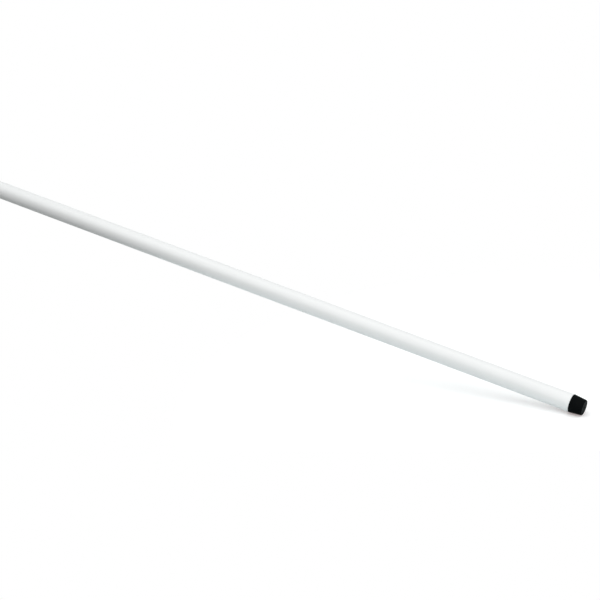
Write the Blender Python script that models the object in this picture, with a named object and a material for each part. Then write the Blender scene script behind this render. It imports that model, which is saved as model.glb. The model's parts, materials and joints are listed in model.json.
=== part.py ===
"""Telescopic roller extension pole, 1.1 m closed and 2.0 m open.

A white coated steel tube ends in a black tapered foot plug. At its other end a twist-lock collar
holds a thinner steel tube, which carries the threaded tip that a roller frame screws on to.

Metres. +X runs along the pole from the foot to the roller tip, +Z is up, and the origin is the
centre of the foot plug's end face. The pole is closed and locked.
"""

import math

import bmesh
import bpy
from mathutils import Vector

# Driving dimensions
OUTER_TUBE_RADIUS = 0.0125
INNER_TUBE_RADIUS = 0.0110
TUBE_WALL = 0.0007
INNER_TUBE_LENGTH = 1.007
SLIDE_TRAVEL = 0.910
GAP = 0.0003  # between pieces that rest on each other
RUNNING_GAP = 0.0002  # between pieces that slide or turn on each other

OUTER_TUBE_BORE = OUTER_TUBE_RADIUS - TUBE_WALL
INNER_TUBE_BORE = INNER_TUBE_RADIUS - TUBE_WALL

# Foot plug
FOOT_LENGTH = 0.0184
FOOT_END_RADIUS = 0.0107
FOOT_BASE_RADIUS = OUTER_TUBE_RADIUS + 0.00015
FOOT_EDGE = 0.0010
SPIGOT_END_X = FOOT_LENGTH + 0.034
SPIGOT_RIBS = 6

# Inner end plug and its guide rings
END_PLUG_START_X = SPIGOT_END_X + GAP
END_PLUG_RADIUS = INNER_TUBE_RADIUS
INNER_TUBE_START_X = END_PLUG_START_X + 0.0240
INNER_TUBE_END_X = INNER_TUBE_START_X + INNER_TUBE_LENGTH
GUIDE_RING_WIDTH = 0.0060
GUIDE_GROOVE_RADIUS = 0.0095
GUIDE_RING_STARTS = {
    "guide_ring_lower": END_PLUG_START_X + 0.0040,
    "guide_ring_upper": END_PLUG_START_X + 0.0140,
}
END_PLUG_SHANK = 0.034
END_PLUG_PIN_X = INNER_TUBE_START_X + 0.018
PIN_RADIUS = 0.0015

# Outer tube, with a groove rolled in that holds the collar sleeve and stops the guide rings
GROOVE_DEPTH = 0.00055
GROOVE_HALF_FLOOR = 0.0008
GROOVE_HALF_MOUTH = 0.0018
STOPPED_RING_END_X = GUIDE_RING_STARTS["guide_ring_upper"] + GUIDE_RING_WIDTH + SLIDE_TRAVEL
GROOVE_X = STOPPED_RING_END_X + GAP + GROOVE_HALF_MOUTH
OUTER_TUBE_START_X = FOOT_LENGTH + GAP
OUTER_TUBE_END_X = GROOVE_X + 0.032

# Collar: sleeve, clamp ring, lock nut and wiper, along the pole
SLEEVE_START_X = OUTER_TUBE_END_X - 0.043
SLEEVE_FLANGE_X = OUTER_TUBE_END_X - 0.018
SLEEVE_THREAD_X = SLEEVE_FLANGE_X + 0.004
SLEEVE_THREAD_END_X = SLEEVE_THREAD_X + 0.024
SLEEVE_END_X = SLEEVE_THREAD_END_X + 0.007
CONE_START_X = SLEEVE_END_X - 0.014
CONE_START_RADIUS = 0.0116
CONE_SLOPE = 0.10
CLAMP_RING_LENGTH = 0.0135
CLAMP_RING_END_X = SLEEVE_END_X + 0.003
NUT_START_X = SLEEVE_THREAD_X + 0.0006
NUT_SHOULDER_X = CLAMP_RING_END_X + GAP
NUT_END_X = NUT_SHOULDER_X + 0.0132
NUT_RADIUS = 0.0188
NUT_RIM_RADIUS = 0.0170
NUT_FLUTES = 8
FLUTE_DEPTH = 0.0018
WIPER_START_X = NUT_SHOULDER_X + 0.0045
WIPER_WIDTH = 0.0040

# Lock thread, right hand: sleeve outside, nut inside
LOCK_PITCH = 0.004
LOCK_ROOT_RADIUS = 0.0145
LOCK_CREST_RADIUS = 0.0155
LOCK_CREST = 0.0010
LOCK_FLANK = 0.0008
THREAD_GAP = 0.00025
THREAD_CREST_GAP = 0.0004

# Roller tip
TIP_FERRULE_LENGTH = 0.012
TIP_SHOULDER_X = INNER_TUBE_END_X + GAP + TIP_FERRULE_LENGTH
TIP_THREAD_LENGTH = 0.027
TIP_END_X = TIP_SHOULDER_X + TIP_THREAD_LENGTH
TIP_SHANK = 0.030
TIP_PITCH = 0.00508
TIP_CREST_RADIUS = 0.0094
TIP_ROOT_RADIUS = 0.0078
TIP_RIVET_X = INNER_TUBE_END_X - 0.013
RIVET_HEAD_RADIUS = 0.0029
RIVET_HEAD_HEIGHT = 0.0010

SEGMENTS = 24
RIBS = 20  # moulded on the sleeve's skirt and on the tip's ferrule
RIBBED_SEGMENTS = 2 * RIBS
NUT_SEGMENTS = 4 * NUT_FLUTES
THREAD_SEGMENTS = 16
SMOOTH_ANGLE = math.radians(35)
MERGE = 1e-6

COLOURS = {
    "white_coat": ((0.86, 0.87, 0.86), 0.35, 0.0),
    "zinc_steel": ((0.62, 0.63, 0.64), 0.28, 1.0),
    "black_nylon": ((0.014, 0.015, 0.015), 0.48, 0.0),
    "grey_nylon": ((0.30, 0.31, 0.31), 0.50, 0.0),
    "natural_nylon": ((0.80, 0.77, 0.69), 0.45, 0.0),
    "bright_steel": ((0.72, 0.72, 0.71), 0.30, 1.0),
    "wiper_rubber": ((0.030, 0.030, 0.031), 0.80, 0.0),
}


def clear_scene():
    for obj in list(bpy.data.objects):
        bpy.data.objects.remove(obj, do_unlink=True)


def material(name):
    found = bpy.data.materials.get(name)
    if found:
        return found
    colour, roughness, metallic = COLOURS[name]
    made = bpy.data.materials.new(name)
    made.use_nodes = True
    shader = made.node_tree.nodes["Principled BSDF"]
    shader.inputs["Base Color"].default_value = (*colour, 1.0)
    shader.inputs["Roughness"].default_value = roughness
    shader.inputs["Metallic"].default_value = metallic
    made.diffuse_color = (*colour, 1.0)
    return made


def make_object(name, bm, material_name=None):
    """Turns a bmesh into an object. One with no material is a cutter, and isn't part of the pole."""
    bm.normal_update()
    bmesh.ops.recalc_face_normals(bm, faces=bm.faces)
    mesh = bpy.data.meshes.new(name)
    bm.to_mesh(mesh)
    bm.free()
    mesh.shade_smooth()
    mesh.set_sharp_from_angle(angle=SMOOTH_ANGLE)
    obj = bpy.data.objects.new(name, mesh)
    bpy.context.scene.collection.objects.link(obj)
    if material_name:
        mesh.materials.append(material(material_name))
    else:
        obj.hide_render = True
        obj.display_type = "WIRE"
    return obj


def arc(centre_x, centre_r, radius, start_deg, end_deg, steps=4):
    """Points of a round corner in the (x, r) half plane, counted from +X towards +R."""
    points = []
    for i in range(steps + 1):
        angle = math.radians(start_deg + (end_deg - start_deg) * i / steps)
        points.append((centre_x + radius * math.cos(angle), centre_r + radius * math.sin(angle)))
    return points


def spin(outline, segments=SEGMENTS):
    """Turns an (x, r) outline about the pole's axis. An outline that starts and ends on the axis
    makes a solid bar, and any other is closed into a ring."""
    bm = bmesh.new()
    verts = [bm.verts.new((x, 0.0, r)) for x, r in outline]
    on_axis = outline[0][1] == 0 and outline[-1][1] == 0
    count = len(verts)
    edges = [bm.edges.new((verts[i], verts[(i + 1) % count])) for i in range(count - on_axis)]
    bmesh.ops.spin(
        bm, geom=verts + edges, cent=(0, 0, 0), axis=(1, 0, 0), angle=2 * math.pi,
        steps=segments, use_merge=True,
    )
    bmesh.ops.remove_doubles(bm, verts=bm.verts, dist=MERGE)
    return bm


def scallop(bm, x_start, x_end, count, depth, least_radius):
    """Sinks count hollow flutes, depth deep, into the surface between x_start and x_end that lies
    outside least_radius. One is at the bottom of the pole."""
    for vert in bm.verts:
        x, y, z = vert.co
        radius = math.hypot(y, z)
        if radius < least_radius or not x_start <= x <= x_end:
            continue
        sunk = depth * abs(math.cos(count * math.atan2(y, -z) / 2))
        vert.co = Vector((x, y * (1 - sunk / radius), z * (1 - sunk / radius)))


def thread_rod(x_start, x_end, crest_x, root, crest, pitch, crest_width, flank, chamfer=0.0):
    """A bar with a right-hand trapezoidal thread, cut square at both ends. A crest is centred on
    crest_x at the top of the pole, and the thread is turned down over chamfer at x_end."""
    outline = [
        (crest_width / 2 + flank - pitch, root),
        (-crest_width / 2 - flank, root),
        (-crest_width / 2, crest),
        (crest_width / 2, crest),
    ]
    first_turn = math.floor((x_start - crest_x) / pitch) - 1
    turns = math.ceil((x_end - x_start) / pitch) + 3
    bm = bmesh.new()
    grid = []
    for step in range(THREAD_SEGMENTS * (turns + 1) + 1):
        angle = 2 * math.pi * step / THREAD_SEGMENTS
        base = crest_x + pitch * (first_turn + step / THREAD_SEGMENTS)
        grid.append(
            [bm.verts.new((base + x, -r * math.sin(angle), r * math.cos(angle))) for x, r in outline]
        )
    for step in range(THREAD_SEGMENTS * turns):
        here, ahead = grid[step], grid[step + 1]
        here_next, ahead_next = grid[step + THREAD_SEGMENTS], grid[step + THREAD_SEGMENTS + 1]
        for row in range(len(outline) - 1):
            bm.faces.new((here[row], here[row + 1], ahead[row + 1], ahead[row]))
        bm.faces.new((here[-1], here_next[0], ahead_next[0], ahead[-1]))
    for plane_x, side in ((x_start, -1), (x_end, 1)):
        bmesh.ops.bisect_plane(
            bm, geom=bm.verts[:] + bm.edges[:] + bm.faces[:], plane_co=(plane_x, 0, 0),
            plane_no=(side, 0, 0), clear_outer=True,
        )
    loose = [vert for vert in bm.verts if not vert.link_faces]
    bmesh.ops.delete(bm, geom=loose, context="VERTS")
    for vert in bm.verts:
        limit = crest - max(0.0, vert.co.x - (x_end - chamfer))
        radius = math.hypot(vert.co.y, vert.co.z)
        if radius > limit:
            vert.co.y *= limit / radius
            vert.co.z *= limit / radius
    bmesh.ops.holes_fill(bm, edges=[edge for edge in bm.edges if edge.is_boundary], sides=0)
    return bm


def block(centre, size):
    bm = bmesh.new()
    bmesh.ops.create_cube(bm, size=1.0)
    bmesh.ops.scale(bm, vec=size, verts=bm.verts)
    bmesh.ops.translate(bm, vec=centre, verts=bm.verts)
    return bm


def cross_rod(x, radius, half_length, segments=16):
    """A round rod across the pole, along Y."""
    bm = bmesh.new()
    bmesh.ops.create_cone(
        bm, cap_ends=True, segments=segments, radius1=radius, radius2=radius, depth=2 * half_length
    )
    for vert in bm.verts:
        vert.co = Vector((vert.co.x + x, vert.co.z, vert.co.y))
    return bm


def combine(obj, bm, operation):
    """Cuts the bmesh from obj or joins it to obj, through a Boolean and a hidden helper."""
    index = len(obj.modifiers) + 1
    helper = make_object(f"{obj.name}_{operation.lower()}_{index}", bm)
    boolean = obj.modifiers.new(helper.name, "BOOLEAN")
    boolean.operation = operation
    boolean.solver = "EXACT"
    boolean.object = helper


def outer_tube():
    """Coated steel tube with the groove rolled in near its mouth."""
    grooved = [
        (-GROOVE_HALF_MOUTH, 0.0),
        (-GROOVE_HALF_FLOOR, GROOVE_DEPTH),
        (GROOVE_HALF_FLOOR, GROOVE_DEPTH),
        (GROOVE_HALF_MOUTH, 0.0),
    ]
    edge = TUBE_WALL / 4
    outside = [(GROOVE_X + x, OUTER_TUBE_RADIUS - sunk) for x, sunk in grooved]
    inside = [(GROOVE_X + x, OUTER_TUBE_BORE - sunk) for x, sunk in reversed(grooved)]
    outline = [
        (OUTER_TUBE_START_X, OUTER_TUBE_BORE),
        (OUTER_TUBE_START_X, OUTER_TUBE_RADIUS - edge),
        (OUTER_TUBE_START_X + edge, OUTER_TUBE_RADIUS),
        *outside,
        (OUTER_TUBE_END_X - edge, OUTER_TUBE_RADIUS),
        (OUTER_TUBE_END_X, OUTER_TUBE_RADIUS - edge),
        (OUTER_TUBE_END_X, OUTER_TUBE_BORE),
        *inside,
    ]
    make_object("outer_tube", spin(outline), "white_coat")


def foot_plug():
    """Tapered foot with a ribbed, hollow spigot that presses into the outer tube."""
    spigot = OUTER_TUBE_BORE - RUNNING_GAP
    hollow = 0.0085
    hollow_x = 0.012
    lead = 0.002
    rib_depth = 0.0005
    outline = [
        (0.0, 0.0),
        *arc(FOOT_EDGE, FOOT_END_RADIUS - FOOT_EDGE, FOOT_EDGE, 180, 97),
        (FOOT_LENGTH - 0.0004, FOOT_BASE_RADIUS),
        (FOOT_LENGTH, FOOT_BASE_RADIUS - 0.0004),
        (FOOT_LENGTH, spigot - rib_depth),
        (FOOT_LENGTH + 0.001, spigot),
        (SPIGOT_END_X - lead, spigot),
        (SPIGOT_END_X, spigot - lead / 2),
        (SPIGOT_END_X, hollow),
        (hollow_x, hollow - 0.0005),
        (hollow_x, 0.0),
    ]
    bm = spin(outline)
    scallop(bm, FOOT_LENGTH + 0.0005, SPIGOT_END_X - lead / 2, SPIGOT_RIBS, rib_depth, spigot - 1e-5)
    make_object("foot_plug", bm, "black_nylon")


def collar_sleeve():
    """Sleeve over the outer tube's mouth: ribbed skirt, flange, lock thread and tapered nose."""
    skirt = 0.0147
    flange = 0.0166
    step = 0.0010
    outline = [
        (SLEEVE_START_X, 0.0),
        (SLEEVE_START_X, skirt - 0.0012),
        (SLEEVE_START_X + 0.003, skirt),
        (SLEEVE_START_X + 0.005, skirt),
        (SLEEVE_FLANGE_X - 0.004, skirt),
        (SLEEVE_FLANGE_X - 0.001, skirt),
        (SLEEVE_FLANGE_X, flange - 0.0005),
        (SLEEVE_FLANGE_X + 0.0005, flange),
        (SLEEVE_THREAD_X - 0.0005, flange),
        (SLEEVE_THREAD_X, flange - 0.0005),
        (SLEEVE_THREAD_X, LOCK_ROOT_RADIUS - step / 2),
        (SLEEVE_END_X - step, LOCK_ROOT_RADIUS - step / 2),
        (SLEEVE_END_X, LOCK_ROOT_RADIUS - step),
        (SLEEVE_END_X, 0.0),
    ]
    bm = spin(outline, RIBBED_SEGMENTS)
    scallop(bm, SLEEVE_START_X + 0.0035, SLEEVE_FLANGE_X - 0.0015, RIBS, 0.0006, skirt - 1e-5)
    sleeve = make_object("collar_sleeve", bm, "black_nylon")
    combine(
        sleeve,
        thread_rod(
            SLEEVE_THREAD_X - step, SLEEVE_THREAD_END_X, SLEEVE_THREAD_X, LOCK_ROOT_RADIUS,
            LOCK_CREST_RADIUS, LOCK_PITCH, LOCK_CREST, LOCK_FLANK, chamfer=0.001,
        ),
        "UNION",
    )
    over_tube = OUTER_TUBE_RADIUS + RUNNING_GAP
    rib = OUTER_TUBE_RADIUS - GROOVE_DEPTH + RUNNING_GAP
    rib_half = GROOVE_HALF_FLOOR - RUNNING_GAP
    past = 0.002
    bore = [
        (SLEEVE_START_X - past, 0.0),
        (SLEEVE_START_X - past, over_tube),
        (GROOVE_X - rib_half - 0.0006, over_tube),
        (GROOVE_X - rib_half, rib),
        (GROOVE_X + rib_half, rib),
        (GROOVE_X + rib_half + 0.0006, over_tube),
        (OUTER_TUBE_END_X + GAP, over_tube),
        (OUTER_TUBE_END_X + GAP, INNER_TUBE_RADIUS + RUNNING_GAP),
        (CONE_START_X, INNER_TUBE_RADIUS + RUNNING_GAP),
        (CONE_START_X, CONE_START_RADIUS),
        (SLEEVE_END_X + past, CONE_START_RADIUS + CONE_SLOPE * (SLEEVE_END_X + past - CONE_START_X)),
        (SLEEVE_END_X + past, 0.0),
    ]
    combine(sleeve, spin(bore), "DIFFERENCE")


def split_slot(x_start, x_end, width, reach):
    """Cutter for the slot that lets a ring spring, at the top of the pole."""
    centre = ((x_start + x_end) / 2, 0.0, reach / 2)
    return block(centre, (x_end - x_start + 0.002, width, reach))


def clamp_ring():
    """Split taper ring that the nut drives into the sleeve's cone, grooved inside to bite."""
    start_x = CLAMP_RING_END_X - CLAMP_RING_LENGTH
    bore = INNER_TUBE_RADIUS + RUNNING_GAP
    cone_gap = 0.00026
    bite = 0.0003

    def cone(x):
        return CONE_START_RADIUS + CONE_SLOPE * (x - CONE_START_X) - cone_gap

    grooves = []
    for i in range(3):
        x = CLAMP_RING_END_X - 0.003 - 0.003 * i
        grooves += [(x, bore), (x - 0.0004, bore + bite), (x - 0.0010, bore + bite), (x - 0.0014, bore)]
    outline = [
        (start_x, bore),
        (start_x, cone(start_x)),
        (CLAMP_RING_END_X - 0.0004, cone(CLAMP_RING_END_X - 0.0004)),
        (CLAMP_RING_END_X, cone(CLAMP_RING_END_X) - 0.0004),
        (CLAMP_RING_END_X, bore),
        *grooves,
    ]
    ring = make_object("clamp_ring", spin(outline), "grey_nylon")
    combine(ring, split_slot(start_x, CLAMP_RING_END_X, 0.0022, 0.020), "DIFFERENCE")


def lock_nut():
    """Twist collar: fluted outside, lock thread, clamp shoulder and wiper groove inside."""
    rim = 0.0010
    nose = 0.0140
    cheek_x = NUT_END_X - 0.012
    outline = [
        (NUT_START_X, 0.0),
        (NUT_START_X, NUT_RIM_RADIUS - rim),
        (NUT_START_X + rim, NUT_RIM_RADIUS),
        (NUT_START_X + 3 * rim, NUT_RIM_RADIUS),
        (NUT_START_X + 5 * rim, NUT_RADIUS),
        (cheek_x, NUT_RADIUS),
        (cheek_x + 0.004, NUT_RADIUS - 0.0009),
        (cheek_x + 0.008, NUT_RADIUS - 0.0027),
        (NUT_END_X - rim, nose + 0.0004),
        (NUT_END_X, nose - 0.0006),
        (NUT_END_X, 0.0),
    ]
    bm = spin(outline, NUT_SEGMENTS)
    scallop(bm, NUT_START_X + 4 * rim, NUT_END_X - 2 * rim, NUT_FLUTES, FLUTE_DEPTH, nose)
    nut = make_object("lock_nut", bm, "black_nylon")
    past = 0.002
    mouth = INNER_TUBE_RADIUS + 2 * RUNNING_GAP
    inside = LOCK_ROOT_RADIUS + THREAD_GAP
    groove = 0.0132
    bore = [
        (NUT_START_X - past, 0.0),
        (NUT_START_X - past, inside),
        (NUT_SHOULDER_X, inside),
        (NUT_SHOULDER_X, mouth),
        (WIPER_START_X - RUNNING_GAP, mouth),
        (WIPER_START_X - RUNNING_GAP, groove),
        (WIPER_START_X + WIPER_WIDTH + RUNNING_GAP, groove),
        (WIPER_START_X + WIPER_WIDTH + RUNNING_GAP, mouth),
        (NUT_END_X - 0.0006, mouth),
        (NUT_END_X + past, mouth + 0.0026),
        (NUT_END_X + past, 0.0),
    ]
    combine(nut, spin(bore), "DIFFERENCE")
    tap = thread_rod(
        SLEEVE_THREAD_X - LOCK_PITCH, SLEEVE_THREAD_END_X + LOCK_PITCH, SLEEVE_THREAD_X,
        inside - 0.0001, LOCK_CREST_RADIUS + THREAD_CREST_GAP, LOCK_PITCH,
        LOCK_CREST + 2 * THREAD_GAP, LOCK_FLANK,
    )
    combine(nut, tap, "DIFFERENCE")


def wiper_ring():
    """Lip ring in the nut's mouth that keeps paint off the clamp."""
    outline = [
        (WIPER_START_X, INNER_TUBE_RADIUS + 0.0009),
        (WIPER_START_X, 0.0130),
        (WIPER_START_X + WIPER_WIDTH, 0.0130),
        (WIPER_START_X + WIPER_WIDTH, INNER_TUBE_RADIUS + RUNNING_GAP),
        (WIPER_START_X + WIPER_WIDTH - 0.0012, INNER_TUBE_RADIUS + RUNNING_GAP),
    ]
    make_object("wiper_ring", spin(outline), "wiper_rubber")


def inner_tube():
    edge = TUBE_WALL / 4
    outline = [
        (INNER_TUBE_START_X, INNER_TUBE_BORE),
        (INNER_TUBE_START_X, INNER_TUBE_RADIUS - edge),
        (INNER_TUBE_START_X + edge, INNER_TUBE_RADIUS),
        (INNER_TUBE_END_X - edge, INNER_TUBE_RADIUS),
        (INNER_TUBE_END_X, INNER_TUBE_RADIUS - edge),
        (INNER_TUBE_END_X, INNER_TUBE_BORE),
    ]
    tube = make_object("inner_tube", spin(outline), "zinc_steel")
    for x in (END_PLUG_PIN_X, TIP_RIVET_X):
        combine(tube, cross_rod(x, PIN_RADIUS + RUNNING_GAP, INNER_TUBE_RADIUS + 0.003), "DIFFERENCE")


def end_plug():
    """Plug in the inner tube's lower end, turned with two grooves for the guide rings."""
    shank = INNER_TUBE_BORE - RUNNING_GAP
    hollow = 0.0070
    end_x = INNER_TUBE_START_X + END_PLUG_SHANK
    collar_end_x = INNER_TUBE_START_X - GAP
    grooves = []
    for ring_x in GUIDE_RING_STARTS.values():
        grooves += [
            (ring_x - RUNNING_GAP, END_PLUG_RADIUS),
            (ring_x - RUNNING_GAP, GUIDE_GROOVE_RADIUS),
            (ring_x + GUIDE_RING_WIDTH + RUNNING_GAP, GUIDE_GROOVE_RADIUS),
            (ring_x + GUIDE_RING_WIDTH + RUNNING_GAP, END_PLUG_RADIUS),
        ]
    outline = [
        (END_PLUG_START_X, 0.0),
        (END_PLUG_START_X, END_PLUG_RADIUS - 0.0012),
        (END_PLUG_START_X + 0.0012, END_PLUG_RADIUS),
        *grooves,
        (collar_end_x, END_PLUG_RADIUS),
        (collar_end_x, shank),
        (end_x - 0.001, shank),
        (end_x, shank - 0.001),
        (end_x, hollow),
        (INNER_TUBE_START_X, hollow),
        (INNER_TUBE_START_X, 0.0),
    ]
    plug = make_object("end_plug", spin(outline), "black_nylon")
    combine(plug, cross_rod(END_PLUG_PIN_X, PIN_RADIUS + RUNNING_GAP, 0.015), "DIFFERENCE")


def end_plug_pin():
    """Flush steel pin through the inner tube and the end plug."""
    flush = INNER_TUBE_RADIUS - 0.0002
    make_object("end_plug_pin", cross_rod(END_PLUG_PIN_X, PIN_RADIUS, flush), "bright_steel")


def guide_rings():
    """Split rings that run in the end plug's grooves and centre it in the outer tube."""
    for name, start_x in GUIDE_RING_STARTS.items():
        outer = OUTER_TUBE_BORE - RUNNING_GAP
        inner = GUIDE_GROOVE_RADIUS + RUNNING_GAP
        edge = 0.0005
        end_x = start_x + GUIDE_RING_WIDTH
        outline = [
            (start_x, inner),
            (start_x, outer - edge),
            (start_x + edge, outer),
            (end_x - edge, outer),
            (end_x, outer - edge),
            (end_x, inner),
        ]
        ring = make_object(name, spin(outline), "natural_nylon")
        combine(ring, split_slot(start_x, end_x, 0.0018, 0.020), "DIFFERENCE")


def tip_adapter():
    """Ribbed ferrule on the inner tube's end, with a shank inside it and a coarse thread outside."""
    shank = INNER_TUBE_BORE - RUNNING_GAP
    hollow = 0.0062
    shank_x = INNER_TUBE_END_X - TIP_SHANK
    ferrule_x = INNER_TUBE_END_X + GAP
    ferrule = 0.0124
    outline = [
        (TIP_SHOULDER_X, 0.0),
        (TIP_SHOULDER_X, ferrule - 0.0004),
        (TIP_SHOULDER_X - 0.0004, ferrule),
        (TIP_SHOULDER_X - 0.0020, ferrule),
        (TIP_SHOULDER_X - 0.0024, ferrule - 0.0001),
        (ferrule_x + 0.0034, ferrule - 0.0001),
        (ferrule_x + 0.0014, INNER_TUBE_RADIUS + 0.0005),
        (ferrule_x, INNER_TUBE_RADIUS),
        (ferrule_x, shank),
        (shank_x + 0.001, shank),
        (shank_x, shank - 0.001),
        (shank_x, hollow),
        (ferrule_x + 0.004, hollow - 0.0006),
        (ferrule_x + 0.004, 0.0),
    ]
    bm = spin(outline, RIBBED_SEGMENTS)
    scallop(bm, ferrule_x + 0.003, TIP_SHOULDER_X - 0.0022, RIBS, 0.0006, ferrule - 0.0003)
    tip = make_object("tip_adapter", bm, "black_nylon")
    combine(
        tip,
        thread_rod(
            TIP_SHOULDER_X - 0.001, TIP_END_X, TIP_SHOULDER_X, TIP_ROOT_RADIUS, TIP_CREST_RADIUS,
            TIP_PITCH, crest_width=0.0016, flank=0.0009, chamfer=0.0025,
        ),
        "UNION",
    )
    combine(tip, cross_rod(TIP_RIVET_X, PIN_RADIUS + RUNNING_GAP, 0.015), "DIFFERENCE")


def tip_rivet():
    """Rivet through the inner tube and the tip's shank, with a domed head on each side."""
    seat = INNER_TUBE_RADIUS + RUNNING_GAP
    half = [
        (0.0, seat + RIVET_HEAD_HEIGHT),
        (RIVET_HEAD_RADIUS * 0.5, seat + RIVET_HEAD_HEIGHT * 0.86),
        (RIVET_HEAD_RADIUS * 0.85, seat + RIVET_HEAD_HEIGHT * 0.45),
        (RIVET_HEAD_RADIUS, seat),
        (PIN_RADIUS, seat),
    ]
    outline = [*half, *[(r, -y) for r, y in reversed(half)]]
    bm = bmesh.new()
    verts = [bm.verts.new((r, y, 0.0)) for r, y in outline]
    edges = [bm.edges.new(pair) for pair in zip(verts, verts[1:])]
    bmesh.ops.spin(
        bm, geom=verts + edges, cent=(0, 0, 0), axis=(0, 1, 0), angle=2 * math.pi, steps=16,
        use_merge=True,
    )
    bmesh.ops.remove_doubles(bm, verts=bm.verts, dist=MERGE)
    bmesh.ops.translate(bm, vec=(TIP_RIVET_X, 0, 0), verts=bm.verts)
    make_object("tip_rivet", bm, "bright_steel")


def main():
    clear_scene()
    outer_tube()
    foot_plug()
    collar_sleeve()
    clamp_ring()
    lock_nut()
    wiper_ring()
    guide_rings()
    inner_tube()
    end_plug()
    end_plug_pin()
    tip_adapter()
    tip_rivet()


main()
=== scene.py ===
"""Looks of the roller extension pole: a white coated tube with a black moulded foot, a twist-lock
collar, a zinc-plated inner tube and a threaded tip. Metres, in the CAD model's frame, where +X runs
along the pole from the foot to the tip."""

import json
import math

import bmesh
import bpy
from mathutils import Matrix, Vector


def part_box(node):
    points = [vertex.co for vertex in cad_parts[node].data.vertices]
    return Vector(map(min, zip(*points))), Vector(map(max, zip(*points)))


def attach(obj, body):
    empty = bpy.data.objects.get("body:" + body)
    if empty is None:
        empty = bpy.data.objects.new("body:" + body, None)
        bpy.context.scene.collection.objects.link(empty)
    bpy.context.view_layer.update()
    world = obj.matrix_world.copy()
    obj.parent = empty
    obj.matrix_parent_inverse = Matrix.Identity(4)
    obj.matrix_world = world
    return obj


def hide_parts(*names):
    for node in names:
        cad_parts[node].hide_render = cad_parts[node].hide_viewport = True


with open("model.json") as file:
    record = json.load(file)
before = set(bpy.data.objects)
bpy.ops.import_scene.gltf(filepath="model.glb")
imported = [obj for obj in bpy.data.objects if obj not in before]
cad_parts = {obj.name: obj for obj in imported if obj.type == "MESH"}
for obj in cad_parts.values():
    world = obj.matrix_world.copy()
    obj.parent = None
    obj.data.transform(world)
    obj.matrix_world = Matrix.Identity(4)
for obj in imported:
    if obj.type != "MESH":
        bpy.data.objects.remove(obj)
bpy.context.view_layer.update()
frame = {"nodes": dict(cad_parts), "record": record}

ON_AXIS = 1e-7  # a point of an outline closer to the axis than this is on it
JOINED = 2e-6  # corners closer than this become one after drilling
SMOOTH_ANGLE = math.radians(40)

# Places read from the frame
FOOT_START, FOOT_STOP = (corner.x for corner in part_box("foot_plug"))
OUTER_START, OUTER_STOP = (corner.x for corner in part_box("outer_tube"))
SLEEVE_START, SLEEVE_STOP = (corner.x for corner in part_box("collar_sleeve"))
NUT_START, NUT_STOP = (corner.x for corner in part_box("lock_nut"))
WIPER_START, WIPER_STOP = (corner.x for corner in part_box("wiper_ring"))
INNER_START, INNER_STOP = (corner.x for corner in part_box("inner_tube"))
TIP_START, TIP_STOP = (corner.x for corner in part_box("tip_adapter"))
RIVET_X = sum(corner.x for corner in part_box("tip_rivet")) / 2
PIN_X = sum(corner.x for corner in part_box("end_plug_pin")) / 2
OUTER_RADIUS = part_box("outer_tube")[1].z
INNER_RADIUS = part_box("inner_tube")[1].z
RIVET_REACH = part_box("tip_rivet")[1].y

# Sizes that the pieces share with the CAD model
TUBE_WALL = 0.0007
OUTER_BORE = OUTER_RADIUS - TUBE_WALL
INNER_BORE = INNER_RADIUS - TUBE_WALL
CUT_EDGE = 0.4 * TUBE_WALL  # rounding of a tube's outer edge
GAP = 0.0003  # along the pole, between pieces that meet end to end
FIT = 0.0002  # across the pole, between pieces that run inside each other
PIN_RADIUS = 0.0015  # of the end plug's pin and of the rivet's shank
PIN_HOLE_RADIUS = PIN_RADIUS + FIT
FOOT_LENGTH = OUTER_START - GAP
FOOT_END_RADIUS = 0.0107
FOOT_BASE_RADIUS = OUTER_RADIUS + 0.00015
FOOT_EDGE = 0.0010
GROOVE_X = OUTER_STOP - 0.032  # middle of the groove rolled into the tube, which holds the sleeve
GROOVE_DEPTH = 0.00055
FLANGE_X = OUTER_STOP - 0.018
LOCK_THREAD_X = FLANGE_X + 0.004
LOCK_THREAD_STOP = SLEEVE_STOP - 0.007
LOCK_PITCH = 0.004
LOCK_ROOT = 0.0145
LOCK_CREST = 0.0155
LOCK_CREST_WIDTH = 0.0010
LOCK_FLANK = 0.0008
THREAD_GAP = 0.00025
WIPER_RADIUS = 0.0130
NUT_RADIUS = 0.0188
NUT_RIM_RADIUS = 0.0170
NUT_FLUTES = 8
FLUTE_DEPTH = 0.0018
LAND_ROUNDING = 0.02  # rounds the lands between the flutes; 0 leaves them sharp
RIBS = 20  # on the sleeve's skirt and on the tip's ferrule
RIB_DEPTH = 0.0006
FERRULE_START = INNER_STOP + GAP
FERRULE_STOP = FERRULE_START + 0.012
FERRULE_RADIUS = 0.0124
TIP_PITCH = 0.00508
TIP_CREST = 0.0094
TIP_ROOT = 0.0078
TIP_CREST_WIDTH = 0.0016
TIP_FLANK = 0.0009


# Geometry


def rounded(corners, steps=6):
    """Outline through (x, r, fillet) corners, with each corner that has a fillet turned into an arc."""
    points = []
    for i, (x, r, fillet) in enumerate(corners):
        here = Vector((x, r))
        if not fillet:
            points.append(here)
            continue
        before = (Vector(corners[i - 1][:2]) - here).normalized()
        after = (Vector(corners[(i + 1) % len(corners)][:2]) - here).normalized()
        half = before.angle(after) / 2
        centre = here + (before + after).normalized() * (fillet / math.sin(half))
        first = here + before * (fillet / math.tan(half)) - centre
        last = here + after * (fillet / math.tan(half)) - centre
        turn = first.angle_signed(last)
        points += [centre + Matrix.Rotation(-turn * k / steps, 2) @ first for k in range(steps + 1)]
    return points


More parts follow.
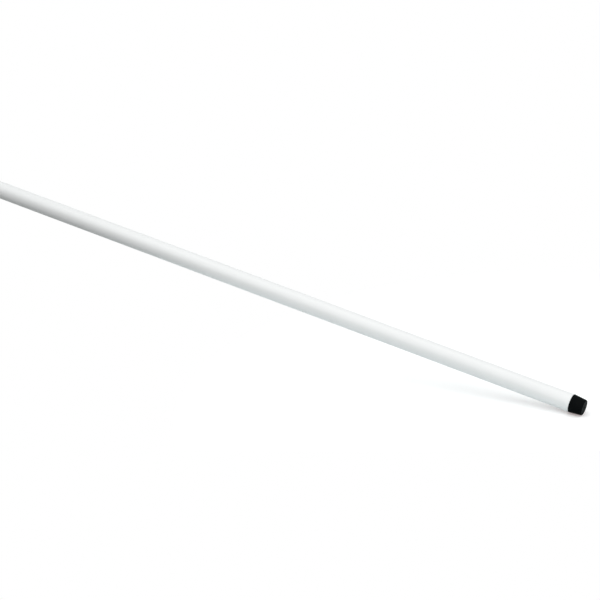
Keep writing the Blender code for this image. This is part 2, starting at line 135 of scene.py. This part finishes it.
def dense(points, x_from, x_to, step):
    """The outline with rows no more than step apart where it runs between x_from and x_to."""
    filled = []
    for here, ahead in zip(points, points[1:] + points[:1]):
        filled.append(here)
        inside = x_from <= min(here.x, ahead.x) and max(here.x, ahead.x) <= x_to
        if inside and here.y + ahead.y > 0:
            count = math.ceil((ahead - here).length / step)
            filled += [here.lerp(ahead, k / count) for k in range(1, count)]
    return filled


def held(points, reach=0.0003):
    """The outline with a row close to each end of its long runs, which keeps their shading flat."""
    filled = []
    for here, ahead in zip(points, points[1:] + points[:1]):
        filled.append(here)
        length = (ahead - here).length
        if length > 4 * reach and here.y + ahead.y > 0:
            filled += [here.lerp(ahead, reach / length), here.lerp(ahead, 1 - reach / length)]
    return filled


def with_rows(points, rows):
    """The outline with a point on each of its runs at every x in rows."""
    filled = []
    for here, ahead in zip(points, points[1:] + points[:1]):
        filled.append(here)
        low, high = min(here.x, ahead.x), max(here.x, ahead.x)
        between = sorted((x for x in rows if low < x < high), reverse=ahead.x < here.x)
        filled += [here.lerp(ahead, (x - here.x) / (ahead.x - here.x)) for x in between]
    return filled


def ring_of(bm, point, segments, relief, axis):
    """One turned row: a single vertex on the axis, or a ring of them."""
    x, r = point
    if r < ON_AXIS:
        return [bm.verts.new(axis @ Vector((x, 0, 0)))]
    ring = []
    for k in range(segments):
        angle = 2 * math.pi * k / segments
        radius = relief(x, r, angle) if relief else r
        ring.append(bm.verts.new(axis @ Vector((x, -radius * math.sin(angle), radius * math.cos(angle)))))
    return ring


def turned(name, points, segments=96, relief=None, axis=Matrix.Identity(4)):
    """A solid turned about the axis from an outline. relief(x, r, angle) changes the radius, with the
    angle counted from the top of the pole."""
    bm = bmesh.new()
    rings = [ring_of(bm, point, segments, relief, axis) for point in points]
    closed = len(rings[0]) > 1 or len(rings[-1]) > 1
    pairs = list(zip(rings, rings[1:])) + ([(rings[-1], rings[0])] if closed else [])
    for a, b in pairs:
        for k in range(segments):
            m = (k + 1) % segments
            corners = [a[k % len(a)], a[m % len(a)], b[m % len(b)], b[k % len(b)]]
            bm.faces.new(list(dict.fromkeys(corners)))
    return as_piece(name, bm)


def as_piece(name, bm):
    """The finished mesh as a new object in the scene."""
    bm.normal_update()
    bmesh.ops.recalc_face_normals(bm, faces=bm.faces)
    mesh = bpy.data.meshes.new(name)
    bm.to_mesh(mesh)
    bm.free()
    smooth_up_to_corners(mesh)
    piece = bpy.data.objects.new(name, mesh)
    bpy.context.scene.collection.objects.link(piece)
    return piece


def smooth_up_to_corners(mesh):
    """Smooth shading that stops at every edge sharper than SMOOTH_ANGLE."""
    mesh.shade_smooth()
    mesh.set_sharp_from_angle(angle=SMOOTH_ANGLE)


def across_pole(x):
    """Places a turned piece's axis along Y at x, where a rivet or a pin runs."""
    return Matrix.Translation((x, 0, 0)) @ Matrix.Rotation(math.radians(90), 4, "Z")


def drill(piece, x, radius):
    """Drills a hole straight through the piece along Y."""
    reach = 2 * INNER_RADIUS
    outline = [Vector((-reach, 0)), Vector((-reach, radius)), Vector((reach, radius)), Vector((reach, 0))]
    bit = turned("drill_bit", outline, 48, axis=across_pole(x))
    cut = piece.modifiers.new("hole", "BOOLEAN")
    cut.operation = "DIFFERENCE"
    cut.solver = "EXACT"
    cut.object = bit
    bm = bmesh.new()
    bm.from_object(piece, bpy.context.evaluated_depsgraph_get())
    bmesh.ops.remove_doubles(bm, verts=bm.verts, dist=JOINED)
    bmesh.ops.triangulate(bm, faces=[face for face in bm.faces if len(face.verts) > 4])
    bm.to_mesh(piece.data)
    bm.free()
    piece.modifiers.remove(cut)
    bpy.data.meshes.remove(bit.data)
    smooth_up_to_corners(piece.data)


def smooth_step(value, low, high):
    """Rises smoothly from 0 at low to 1 at high."""
    t = min(1.0, max(0.0, (value - low) / (high - low)))
    return t * t * (3 - 2 * t)


def within(x, start, stop, fade):
    """1 between start and stop, falling smoothly to 0 over fade inside both ends."""
    return smooth_step(x, start, start + fade) * smooth_step(-x, -stop, -stop + fade)


def rib_groove(angle):
    """1 in the middle of each groove between two ribs, and 0 on top of a rib."""
    return math.cos(RIBS * angle / 2) ** 4


def thread_height(x, angle, crest_x, pitch, crest_width, flank):
    """0 at the root and 1 at the crest of a right-hand thread with rounded flanks, whose crest passes
    the top of the pole at crest_x."""
    turns = (x - crest_x) / pitch - angle / (2 * math.pi)
    off_crest = abs(turns - round(turns)) * pitch
    return 1 - smooth_step(off_crest, crest_width / 2, crest_width / 2 + flank)


# Materials


def shader_of(name, colour, roughness, metallic=0.0, **constants):
    """A material and its Principled shader, with constants set on the shader's own sockets."""
    made = bpy.data.materials.new(name)
    made.use_nodes = True
    shader = made.node_tree.nodes["Principled BSDF"]
    shader.inputs["Base Color"].default_value = (*colour, 1)
    shader.inputs["Roughness"].default_value = roughness
    shader.inputs["Metallic"].default_value = metallic
    for socket, value in constants.items():
        shader.inputs[socket.replace("_", " ").title().replace("Ior", "IOR")].default_value = value
    return made, shader


def node(tree, kind, links=(), **values):
    """A node with its settings, its input values by name, and its links as (input, output) pairs."""
    made = tree.nodes.new(kind)
    for key, value in values.items():
        if hasattr(made, key):
            setattr(made, key, value)
        else:
            made.inputs[key.replace("_", " ").title()].default_value = value
    for socket, output in links:
        tree.links.new(output, made.inputs[socket])
    return made


def noise(tree, scale, detail=2.0, stretch=(1, 1, 1)):
    """Noise in the pole's frame, scale per metre, stretched by dividing its frequency on each axis."""
    place = node(tree, "ShaderNodeTexCoord").outputs["Object"]
    squeeze = node(tree, "ShaderNodeMapping", [("Vector", place)])
    squeeze.inputs["Scale"].default_value = [1 / s for s in stretch]
    made = node(
        tree, "ShaderNodeTexNoise", [("Vector", squeeze.outputs[0])], Scale=scale, Detail=detail
    )
    return made.outputs["Fac"]


def spread(tree, value, low, high, from_low=0.35, from_high=0.65):
    """A value mapped on to low to high from its own span, which by default is that of noise."""
    made = node(tree, "ShaderNodeMapRange", [("Value", value)])
    for socket, number in (
        ("From Min", from_low), ("From Max", from_high), ("To Min", low), ("To Max", high),
    ):
        made.inputs[socket].default_value = number
    return made.outputs["Result"]


def blend_colours(tree, factor, first, second):
    """Goes from the first colour to the second as the factor goes from 0 to 1."""
    made = tree.nodes.new("ShaderNodeMix")
    made.data_type = "RGBA"
    tree.links.new(factor, made.inputs[0])
    for socket, colour in ((made.inputs[6], first), (made.inputs[7], second)):
        if isinstance(colour, tuple):
            socket.default_value = (*colour, 1)
        else:
            tree.links.new(colour, socket)
    return made.outputs[2]


def bump(tree, height, depth, normal=None):
    """A bump of the given depth in metres, laid on an earlier bump's normal if there is one."""
    made = node(tree, "ShaderNodeBump", [("Height", height)])
    made.inputs["Strength"].default_value = 1.0
    made.inputs["Distance"].default_value = depth
    if normal:
        tree.links.new(normal, made.inputs["Normal"])
    return made.outputs["Normal"]


def powder_coat():
    """Satin white powder coat: faint orange peel, a hardly visible unevenness, a few specks of dust."""
    made, shader = shader_of("white_coat", (0.79, 0.80, 0.80), 0.3, ior=1.5)
    tree = made.node_tree
    cloud = noise(tree, 14, 3, stretch=(6, 1, 1))
    base = blend_colours(tree, spread(tree, cloud, 0, 1), (0.757, 0.758, 0.757), (0.775, 0.776, 0.774))
    speck = spread(tree, noise(tree, 420, 1), 0, 0.5, 0.79, 0.82)
    tree.links.new(blend_colours(tree, speck, base, (0.69, 0.69, 0.68)), shader.inputs["Base Color"])
    tree.links.new(spread(tree, noise(tree, 90, 3), 0.30, 0.37), shader.inputs["Roughness"])
    peel = bump(tree, noise(tree, 650, 2), 0.000012)
    tree.links.new(peel, shader.inputs["Normal"])
    return made


def moulded_plastic(name, dark, light, roughness, gloss=0.4, grain=0.00002):
    """Moulded nylon with a fine spark texture and a slightly cloudy surface."""
    made, shader = shader_of(name, dark, roughness, ior=1.5, specular_ior_level=gloss)
    tree = made.node_tree
    cloud = spread(tree, noise(tree, 60, 4), 0, 1)
    tree.links.new(blend_colours(tree, cloud, dark, light), shader.inputs["Base Color"])
    rough = spread(tree, noise(tree, 220, 3), roughness - 0.03, roughness + 0.03)
    tree.links.new(rough, shader.inputs["Roughness"])
    coarse = bump(tree, noise(tree, 900, 2), grain)
    tree.links.new(bump(tree, noise(tree, 4200, 1), grain / 2, coarse), shader.inputs["Normal"])
    return made


def drawn_zinc():
    """Zinc-plated drawn steel tube: long fine draw lines and a soft spangle."""
    made, shader = shader_of("zinc_steel", (0.51, 0.52, 0.53), 0.35, metallic=1.0)
    tree = made.node_tree
    spangle = spread(tree, noise(tree, 45, 4, stretch=(3, 1, 1)), 0, 1)
    base = blend_colours(tree, spangle, (0.46, 0.473, 0.485), (0.56, 0.568, 0.575))
    tree.links.new(base, shader.inputs["Base Color"])
    lines = noise(tree, 1600, 2, stretch=(90, 1, 1))
    tree.links.new(spread(tree, lines, 0.29, 0.40), shader.inputs["Roughness"])
    tree.links.new(bump(tree, lines, 0.000006), shader.inputs["Normal"])
    return made


def turned_steel():
    """Bright steel of the rivet and pin, with fine scratches."""
    made, shader = shader_of("bright_steel", (0.70, 0.70, 0.69), 0.28, metallic=1.0)
    tree = made.node_tree
    scratch = noise(tree, 1400, 3, stretch=(1, 6, 1))
    tint = blend_colours(tree, spread(tree, scratch, 0, 1), (0.62, 0.62, 0.61), (0.74, 0.74, 0.73))
    tree.links.new(tint, shader.inputs["Base Color"])
    tree.links.new(spread(tree, scratch, 0.29, 0.38), shader.inputs["Roughness"])
    tree.links.new(bump(tree, scratch, 0.00001), shader.inputs["Normal"])
    return made


def rubber():
    """Matt black rubber, slightly dusty."""
    made, shader = shader_of("wiper_rubber", (0.02, 0.02, 0.021), 0.8, ior=1.5)
    tree = made.node_tree
    dust = spread(tree, noise(tree, 300, 4), 0, 1)
    tint = blend_colours(tree, dust, (0.018, 0.018, 0.019), (0.04, 0.039, 0.037))
    tree.links.new(tint, shader.inputs["Base Color"])
    tree.links.new(spread(tree, dust, 0.7, 0.88, 0, 1), shader.inputs["Roughness"])
    tree.links.new(bump(tree, noise(tree, 2600, 2), 0.00002), shader.inputs["Normal"])
    return made


# By slot
MATERIALS = {
    "white_coat": powder_coat(),
    "black_nylon": moulded_plastic("black_nylon", (0.008, 0.0085, 0.0087), (0.013, 0.0136, 0.0138), 0.45),
    "grey_nylon": moulded_plastic("grey_nylon", (0.26, 0.27, 0.27), (0.33, 0.34, 0.34), 0.5),
    "natural_nylon": moulded_plastic("natural_nylon", (0.74, 0.71, 0.62), (0.83, 0.80, 0.72), 0.42),
    "zinc_steel": drawn_zinc(),
    "bright_steel": turned_steel(),
    "wiper_rubber": rubber(),
}
# The foot's nylon is darker and less glossy than the collar's and the tip's
FOOT_BLACK = moulded_plastic(
    "foot_black", (0.0019, 0.0026, 0.0028), (0.0031, 0.0038, 0.0041), 0.53, gloss=0.025
)


def finish_piece(piece, slot, body, *replaced, material=None):
    """Gives a piece its body, the CAD nodes that it stands for, and its material, which is its slot's
    unless another is named."""
    piece.data.materials.append(material or MATERIALS[slot])
    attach(piece, body)
    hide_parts(*replaced)
    return piece


# Pieces of the outer section


def coated_tube():
    """The white tube, with its rolled groove under the collar and its sheared, coated edge."""
    floor_half = 0.0008
    mouth_half = 0.0018
    groove = [(-mouth_half, 0), (-floor_half, GROOVE_DEPTH), (floor_half, GROOVE_DEPTH), (mouth_half, 0)]
    outside = [(GROOVE_X + x, OUTER_RADIUS - sunk, 0.0004) for x, sunk in groove]
    inside = [(GROOVE_X + x, OUTER_BORE - sunk, 0.0004) for x, sunk in reversed(groove)]
    corners = [
        (OUTER_START, OUTER_BORE, 0.0001),
        (OUTER_START, OUTER_RADIUS, CUT_EDGE),
        *outside,
        (OUTER_STOP, OUTER_RADIUS, CUT_EDGE),
        (OUTER_STOP, OUTER_BORE, 0.0001),
        *inside,
    ]
    piece = turned("outer_tube_coated", held(rounded(corners)), 160)
    return finish_piece(piece, "white_coat", "outer", "outer_tube")


def foot():
    """Tapered foot: rounded end, a small gate mark on the end face, two mould lines, and a hollow,
    ribbed spigot in the tube's end."""
    spigot = OUTER_BORE - FIT
    hollow = 0.0085
    hollow_start = 0.012
    gate_radius = 0.0011
    gate_depth = 0.00025
    corners = [
        (FOOT_START + gate_depth, 0, 0),
        (FOOT_START + gate_depth, gate_radius, 0.0001),
        (FOOT_START, gate_radius + gate_depth, 0.0001),
        (FOOT_START, FOOT_END_RADIUS, FOOT_EDGE),
        (FOOT_LENGTH - 0.0006, FOOT_BASE_RADIUS, 0.0004),
        (FOOT_LENGTH, FOOT_BASE_RADIUS - 0.0004, 0.0002),
        (FOOT_LENGTH, spigot - 0.0005, 0),
        (FOOT_LENGTH + 0.001, spigot, 0.0003),
        (FOOT_STOP - 0.002, spigot, 0.0005),
        (FOOT_STOP, spigot - 0.001, 0.0002),
        (FOOT_STOP, hollow, 0.0003),
        (hollow_start, hollow - 0.0005, 0.0005),
        (hollow_start, 0, 0),
    ]
    ribs = 6
    rib_depth = 0.0005
    seam_height = 0.00005
    seam_width = 0.02  # in radians

    def relief(x, r, angle):
        if x > FOOT_LENGTH + 0.0008 and r > spigot - 0.0001:
            return r - rib_depth * (0.5 + 0.5 * math.cos(ribs * angle)) ** 2
        if FOOT_START + FOOT_EDGE < x < FOOT_LENGTH - 0.0007 and r > hollow:
            return r + seam_height * math.exp(-((math.sin(angle) / seam_width) ** 2))
        return r

    points = dense(rounded(corners, 8), FOOT_START, FOOT_STOP, 0.0012)
    piece = turned("foot_plug_moulded", held(points), 192, relief)
    return finish_piece(piece, "black_nylon", "outer", "foot_plug", material=FOOT_BLACK)


def sleeve():
    """Collar sleeve. Outside it has a ribbed skirt over the tube's mouth, a flange and the lock thread,
    and inside, a ridge that sits in the tube's rolled groove and the cone that closes the clamp ring."""
    skirt = 0.0147
    flange = 0.0166
    over_tube = OUTER_RADIUS + FIT
    over_inner = INNER_RADIUS + FIT
    ridge_half = 0.0006
    ridge_foot = ridge_half + 0.0006
    cone_x = SLEEVE_STOP - 0.014
    cone_r = 0.0116
    cone_slope = 0.1
    corners = [
        (SLEEVE_START, over_tube, 0.0003),
        (SLEEVE_START, skirt - 0.0010, 0.0007),
        (SLEEVE_START + 0.003, skirt, 0.0015),
        (FLANGE_X - 0.0022, skirt, 0.0012),
        (FLANGE_X, flange, 0.0007),
        (LOCK_THREAD_X, flange, 0.0006),
        (LOCK_THREAD_X, LOCK_ROOT, 0.0004),
        (LOCK_THREAD_STOP, LOCK_ROOT, 0.0004),
        (SLEEVE_STOP - 0.0065, LOCK_ROOT - 0.0005, 0.0002),
        (SLEEVE_STOP, LOCK_ROOT - 0.0007, 0.0006),
        (SLEEVE_STOP, cone_r + cone_slope * (SLEEVE_STOP - cone_x), 0.0002),
        (cone_x, cone_r, 0.0001),
        (cone_x, over_inner, 0.0001),
        (OUTER_STOP + GAP, over_inner, 0.0002),
        (OUTER_STOP + GAP, over_tube, 0.0001),
        (GROOVE_X + ridge_foot, over_tube, 0.0002),
        (GROOVE_X + ridge_half, over_tube - GROOVE_DEPTH, 0.0001),
        (GROOVE_X - ridge_half, over_tube - GROOVE_DEPTH, 0.0001),
        (GROOVE_X - ridge_foot, over_tube, 0.0002),
    ]
    rib_start, rib_stop = SLEEVE_START + 0.0035, FLANGE_X - 0.0018

    def relief(x, r, angle):
        if rib_start < x < rib_stop and r > over_tube + 0.001:
            return r - RIB_DEPTH * rib_groove(angle) * within(x, rib_start, rib_stop, 0.002)
        if LOCK_THREAD_X < x < LOCK_THREAD_STOP and r > LOCK_ROOT - 0.0001:
            height = thread_height(
                x, angle, LOCK_THREAD_X, LOCK_PITCH, LOCK_CREST_WIDTH, LOCK_FLANK
            ) * within(x, LOCK_THREAD_X, LOCK_THREAD_STOP, 0.0012)
            return r + (LOCK_CREST - LOCK_ROOT) * height
        return r

    points = dense(rounded(corners), LOCK_THREAD_X, LOCK_THREAD_STOP, 0.00016)
    points = dense(points, SLEEVE_START, FLANGE_X, 0.0008)
    piece = turned("collar_sleeve_moulded", held(points), 160, relief)
    return finish_piece(piece, "black_nylon", "outer", "collar_sleeve")


# Pieces of the twist collar


def nut():
    """Lock nut: eight finger flutes with a rounded land between them, the lock thread inside, and the
    wiper's groove."""
    cheek_x = NUT_STOP - 0.012
    nose = 0.0136
    mouth = INNER_RADIUS + 2 * FIT
    wiper_groove = WIPER_RADIUS + FIT
    root = LOCK_ROOT + THREAD_GAP
    groove_depth = LOCK_CREST - LOCK_ROOT
    groove_width = LOCK_CREST_WIDTH + 2 * THREAD_GAP
    shoulder_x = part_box("clamp_ring")[1].x + GAP
    corners = [
        (NUT_START, root + 0.0006, 0.0002),
        (NUT_START, NUT_RIM_RADIUS, 0.0008),
        (NUT_START + 0.0030, NUT_RIM_RADIUS, 0.0010),
        (NUT_START + 0.0050, NUT_RADIUS, 0.0010),
        (cheek_x, NUT_RADIUS, 0.0080),
        (NUT_STOP - 0.0035, NUT_RADIUS - 0.0030, 0.0020),
        (NUT_STOP, nose, 0.0012),
        (NUT_STOP, mouth + 0.0010, 0.0003),
        (NUT_STOP - 0.0011, mouth, 0.0003),
        (WIPER_STOP + FIT, mouth, 0.0001),
        (WIPER_STOP + FIT, wiper_groove, 0.0001),
        (WIPER_START - FIT, wiper_groove, 0.0001),
        (WIPER_START - FIT, mouth, 0.0001),
        (shoulder_x, mouth, 0.0002),
        (shoulder_x, root, 0.0002),
        (NUT_START + 0.0008, root, 0.0002),
    ]
    flute_start, flute_stop = NUT_START + 0.0030, cheek_x + 0.0095
    thread_stop = LOCK_THREAD_STOP + LOCK_PITCH

    def relief(x, r, angle):
        if r > root + 0.0002 and flute_start < x < flute_stop:
            hollow = math.sqrt(math.cos(NUT_FLUTES * angle / 2) ** 2 + LAND_ROUNDING)
            return r - FLUTE_DEPTH * hollow * within(x, flute_start, flute_stop, 0.002)
        if r < root + groove_depth and x < thread_stop:
            height = thread_height(x, angle, LOCK_THREAD_X, LOCK_PITCH, groove_width, LOCK_FLANK)
            runs_out = smooth_step(x, thread_stop - 0.002, thread_stop)
            return max(r, root + groove_depth * height * (1 - runs_out))
        return r

    points = dense(rounded(corners, 8), NUT_START, NUT_STOP, 0.0004)
    piece = turned("lock_nut_moulded", held(points), 200, relief)
    return finish_piece(piece, "black_nylon", "collar", "lock_nut")


def wiper():
    """Rubber wiper, whose bore tapers to a lip round the inner tube."""
    lip = INNER_RADIUS + FIT
    lip_length = 0.0012
    corners = [
        (WIPER_START, INNER_RADIUS + 0.0009, 0.0002),
        (WIPER_START, WIPER_RADIUS, 0.0003),
        (WIPER_STOP, WIPER_RADIUS, 0.0003),
        (WIPER_STOP, lip, 0.0002),
        (WIPER_STOP - lip_length, lip, 0.0003),
    ]
    piece = turned("wiper_ring_moulded", rounded(corners), 96)
    return finish_piece(piece, "wiper_rubber", "collar", "wiper_ring")


# Pieces of the inner section


def plated_tube():
    """The zinc-plated inner tube, with holes for the rivet and the end plug's pin, and a shallow dish
    pressed round each of them."""
    corners = [
        (INNER_START, INNER_BORE, 0.0001),
        (INNER_START, INNER_RADIUS, CUT_EDGE),
        (INNER_STOP, INNER_RADIUS, CUT_EDGE),
        (INNER_STOP, INNER_BORE, 0.0001),
    ]
    dish = 0.0022
    dish_depth = 0.00012
    dish_rows = [dish * (k / 6 - 2) for k in range(25)]

    def relief(x, r, angle):
        off_y = min(abs(angle - math.pi / 2), abs(angle - 3 * math.pi / 2)) * r
        sunk = 0.0
        for hole_x in (RIVET_X, PIN_X):
            off_hole = math.hypot(x - hole_x, off_y)
            sunk += dish_depth * (1 - smooth_step(off_hole, 0.6 * dish, 1.6 * dish))
        return r - sunk

    points = held(rounded(corners))
    for hole_x in (RIVET_X, PIN_X):
        points = with_rows(points, [hole_x + row for row in dish_rows])
    piece = turned("inner_tube_plated", points, 160, relief)
    for hole_x in (RIVET_X, PIN_X):
        drill(piece, hole_x, PIN_HOLE_RADIUS)
    return finish_piece(piece, "zinc_steel", "inner", "inner_tube")


def tip():
    """Threaded tip: ribbed ferrule, a shank in the tube, and the coarse thread that takes a roller."""
    shank = INNER_BORE - FIT
    hollow = 0.0062
    hollow_stop = FERRULE_START + 0.004
    chamfer = 0.0026
    corners = [
        (TIP_STOP, 0, 0),
        (TIP_STOP, TIP_ROOT - 0.0004, 0.0006),
        (TIP_STOP - 0.0010, TIP_ROOT, 0.0004),
        (FERRULE_STOP, TIP_ROOT, 0.0008),
        (FERRULE_STOP, FERRULE_RADIUS, 0.0006),
        (FERRULE_START + 0.0034, FERRULE_RADIUS, 0.0020),
        (FERRULE_START + 0.0012, INNER_RADIUS + 0.0004, 0.0004),
        (FERRULE_START, INNER_RADIUS, 0.0002),
        (FERRULE_START, shank, 0.0001),
        (TIP_START + 0.001, shank, 0.0003),
        (TIP_START, shank - 0.001, 0.0002),
        (TIP_START, hollow, 0.0003),
        (hollow_stop, hollow - 0.0006, 0.0003),
        (hollow_stop, 0, 0),
    ]
    rib_start, rib_stop = FERRULE_START + 0.0026, FERRULE_STOP - 0.0014

    def relief(x, r, angle):
        if x > FERRULE_STOP + 0.0003 and r > TIP_ROOT - 0.001:
            height = thread_height(x, angle, FERRULE_STOP, TIP_PITCH, TIP_CREST_WIDTH, TIP_FLANK)
            turned_down = 1 - smooth_step(x, TIP_STOP - chamfer, TIP_STOP - 0.0004)
            return r + (TIP_CREST - TIP_ROOT) * height * turned_down
        if rib_start < x < rib_stop and r > INNER_RADIUS:
            return r - RIB_DEPTH * rib_groove(angle) * within(x, rib_start, rib_stop, 0.0015)
        return r

    points = dense(rounded(corners, 8), FERRULE_STOP, TIP_STOP, 0.00018)
    points = dense(points, FERRULE_START, FERRULE_STOP, 0.0004)
    piece = turned("tip_adapter_moulded", held(points), 160, relief)
    drill(piece, RIVET_X, PIN_HOLE_RADIUS)
    return finish_piece(piece, "black_nylon", "inner", "tip_adapter")


def rivet():
    """Tip rivet, which runs along Y: a shank with a low domed head on each side of the inner tube."""
    seat = INNER_RADIUS + FIT
    head = 0.0029
    steps = 8
    rise = RIVET_REACH - seat
    half = []
    for k in range(steps + 1):
        angle = math.radians(90) * k / steps
        half.append(Vector((-seat - rise * math.cos(angle), head * math.sin(angle))))
    half.append(Vector((-seat, PIN_RADIUS)))
    outline = half + [Vector((-point.x, point.y)) for point in reversed(half)]
    piece = turned("tip_rivet_domed", outline, 48, axis=across_pole(RIVET_X))
    return finish_piece(piece, "bright_steel", "inner", "tip_rivet")


def finish_cad_nodes():
    """Every CAD node takes its slot's material. The clamp ring, guide rings, end plug and its pin are
    used as they are, and the pieces above replace the other nodes."""
    slots = {row["node"]: row["material_slot"] for row in frame["record"]["subparts"]}
    for name, cad in frame["nodes"].items():
        cad.data.materials.clear()
        cad.data.materials.append(MATERIALS[slots[name]])


# Floor, light and camera

# The camera, in the pole's frame. It rolls a little, because the pole slopes down to its foot.
CAMERA_AZIMUTH = math.radians(205.16)
CAMERA_ELEVATION = math.radians(26.09)
CAMERA_ROLL = math.radians(8.78)
CAMERA_DISTANCE = 2.716
CAMERA_AIM = Vector((0.4366, 0.0, 0.0026))
CAMERA_LENS = 115.2
SENSOR = 36.0

FLOOR_TILT = math.radians(10.2)  # the pole lies on its foot, with its far end held up
FLOOR_TO_POLE = Matrix.Rotation(FLOOR_TILT, 4, "Y")
# How far the paper reaches from the middle of the camera's frame, as a multiple of half the frame
FLOOR_REACH = {"left": 0.63, "right": 1.15, "near": 0.5, "far": 1.8}
FLOOR_SINK = 0.0001  # below the foot, so that the two don't touch
FLOOR_PAPER = (0.76, 0.813, 0.818)
FLOOR_PAPER_LIGHT = (0.766, 0.819, 0.824)
FLOOR_GLOW = (0.268, 0.216, 0.213)  # added to what the camera sees, which burns out faint shadows
FLOOR_FADE = (0.35, 0.55)  # distances from the foot between which the paper turns plain white
SOFTBOX_AIM_X = 0.3
SOFTBOX_LEAN = math.radians(30)  # from straight above the floor towards the camera
SOFTBOX_DISTANCE = 1.5
SOFTBOX_SIZE = 4.0
SOFTBOX_POWER = 52.5
ROOM_LIGHT_FRONT = 0.08
ROOM_LIGHT_BEHIND = 0.80
ROOM_COLOUR = (0.95, 1.0, 1.0)


def backward(azimuth, elevation):
    """The direction from the pole to a viewer at this azimuth and elevation."""
    flat = math.cos(elevation)
    return Vector((math.sin(azimuth) * flat, -math.cos(azimuth) * flat, math.sin(elevation)))


def camera():
    """The view over the foot and most of the outer tube."""
    data = bpy.data.cameras.new("camera")
    data.lens = CAMERA_LENS
    data.sensor_width = SENSOR
    data.clip_start = 0.05
    data.clip_end = 50
    shot = bpy.data.objects.new("camera", data)
    bpy.context.scene.collection.objects.link(shot)
    back = backward(CAMERA_AZIMUTH, CAMERA_ELEVATION)
    turn = (-back).to_track_quat("-Z", "Y").to_matrix().to_4x4()
    placed = Matrix.Translation(CAMERA_AIM + back * CAMERA_DISTANCE) @ turn
    shot.matrix_world = placed @ Matrix.Rotation(CAMERA_ROLL, 4, "Z")
    bpy.context.scene.camera = shot
    return shot


def stage_floor(shot):
    """White paper just under the foot's rounded end, wide enough for the shadow that the camera sees."""
    foot_bottom = (
        FOOT_EDGE * math.sin(FLOOR_TILT)
        - (FOOT_END_RADIUS - FOOT_EDGE) * math.cos(FLOOR_TILT)
        - FOOT_EDGE
    )
    height = foot_bottom - FLOOR_SINK
    eye = FLOOR_TO_POLE.inverted() @ shot.matrix_world
    half = SENSOR / 2 / CAMERA_LENS
    left, right, near, far = (FLOOR_REACH[side] * half for side in ("left", "right", "near", "far"))
    bm = bmesh.new()
    corners = []
    for u, v in ((-left, -near), (right, -near), (right, far), (-left, far)):
        ray = eye.to_3x3() @ Vector((u, v, -1))
        reach = (height - eye.translation.z) / ray.z
        corners.append(bm.verts.new(eye.translation + ray * reach))
    bm.faces.new(corners)
    floor = as_piece("floor", bm)
    floor.matrix_world = FLOOR_TO_POLE
    made, shader = shader_of("floor_paper", FLOOR_PAPER, 0.9, specular_ior_level=0.1)
    tree = made.node_tree
    paper = blend_colours(tree, noise(tree, 3), FLOOR_PAPER, FLOOR_PAPER_LIGHT)
    tree.links.new(paper, shader.inputs["Base Color"])
    shader.inputs["Emission Color"].default_value = (*FLOOR_GLOW, 1)
    seen = node(tree, "ShaderNodeLightPath").outputs["Is Camera Ray"]
    tree.links.new(seen, shader.inputs["Emission Strength"])
    place = node(tree, "ShaderNodeTexCoord").outputs["Object"]
    from_foot = node(tree, "ShaderNodeVectorMath", [(0, place)], operation="LENGTH")
    faded = spread(tree, from_foot.outputs["Value"], 0, 1, *FLOOR_FADE)
    shown = node(tree, "ShaderNodeMath", [(0, faded), (1, seen)], operation="MULTIPLY")
    plain = node(tree, "ShaderNodeEmission")
    surface = node(
        tree, "ShaderNodeMixShader",
        [(0, shown.outputs[0]), (1, shader.outputs[0]), (2, plain.outputs[0])],
    )
    tree.links.new(surface.outputs[0], tree.nodes["Material Output"].inputs["Surface"])
    floor.data.materials.append(made)


def studio():
    """A wide softbox above the foot's half of the pole, leaning towards the camera, and a room that
    is brighter behind the pole. The camera sees a white background."""
    softbox = bpy.data.lights.new("softbox", "AREA")
    softbox.shape = "DISK"
    softbox.size = SOFTBOX_SIZE
    softbox.energy = SOFTBOX_POWER
    overhead = bpy.data.objects.new("softbox", softbox)
    bpy.context.scene.collection.objects.link(overhead)
    towards = backward(CAMERA_AZIMUTH, math.radians(90) - SOFTBOX_LEAN)
    turn = towards.to_track_quat("Z", "Y").to_matrix().to_4x4()
    aim = Matrix.Translation((SOFTBOX_AIM_X, 0, 0))
    overhead.matrix_world = (
        aim @ FLOOR_TO_POLE @ Matrix.Translation(towards * SOFTBOX_DISTANCE) @ turn
    )
    overhead.visible_camera = False
    world = bpy.data.worlds.new("studio")
    bpy.context.scene.world = world
    world.use_nodes = True
    tree = world.node_tree
    room = tree.nodes["Background"]
    room.inputs["Color"].default_value = (*ROOM_COLOUR, 1)
    facing = node(
        tree, "ShaderNodeVectorMath", [(0, node(tree, "ShaderNodeTexCoord").outputs["Generated"])],
        operation="DOT_PRODUCT",
    )
    facing.inputs[1].default_value = backward(CAMERA_AZIMUTH, 0)
    strength = spread(tree, facing.outputs["Value"], ROOM_LIGHT_BEHIND, ROOM_LIGHT_FRONT, -1, 1)
    tree.links.new(strength, room.inputs["Strength"])
    backdrop = node(tree, "ShaderNodeBackground", Color=(1, 1, 1, 1))
    seen = node(tree, "ShaderNodeLightPath").outputs["Is Camera Ray"]
    chosen = node(
        tree, "ShaderNodeMixShader", [(0, seen), (1, room.outputs[0]), (2, backdrop.outputs[0])]
    )
    tree.links.new(chosen.outputs[0], tree.nodes["World Output"].inputs["Surface"])


coated_tube()
foot()
sleeve()
nut()
wiper()
plated_tube()
tip()
rivet()
finish_cad_nodes()
stage_floor(camera())
studio()
bpy.context.scene.view_settings.view_transform = "Standard"
